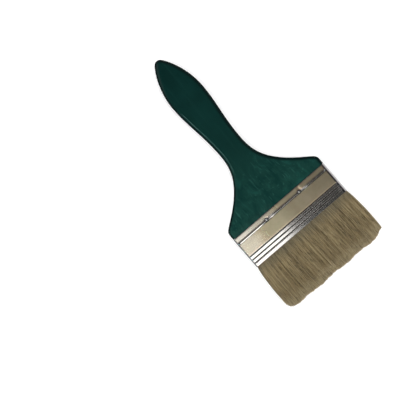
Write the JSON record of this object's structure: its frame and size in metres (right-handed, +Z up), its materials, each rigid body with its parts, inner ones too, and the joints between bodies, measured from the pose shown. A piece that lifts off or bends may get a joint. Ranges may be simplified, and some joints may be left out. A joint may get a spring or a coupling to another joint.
{
  "type": "paint brush",
  "caption": "Flat paint brush: tapered green lacquered wooden handle, grooved bright metal ferrule held by nails, and a dense block of natural bristle.",
  "frame": {"origin": "middle of the bottom of the bounding box, with the brush lying on its back on the plane z = 0", "axes": "+X along the brush from the handle's tip to the bristles' ends, +Y across its width, +Z up through its thickness, out of its front face"},
  "size_m": [0.2376, 0.1066, 0.0112],
  "materials": {
    "green_lacquer": "satin",
    "tinplate": "gloss",
    "nail_steel": "gloss",
    "set_resin": "gloss",
    "strip_wood": "matte",
    "hog_bristle": "matte"
  },
  "bodies": {
    "root": {"handle": "green_lacquer", "ferrule": "tinplate", "nail_front_left": "nail_steel", "nail_front_right": "nail_steel", "nail_back_left": "nail_steel", "nail_back_right": "nail_steel", "resin_plug": "set_resin", "spacer_strip": "strip_wood", "bristles_front": "hog_bristle", "bristles_back": "hog_bristle"}
  },
  "joints": []
}
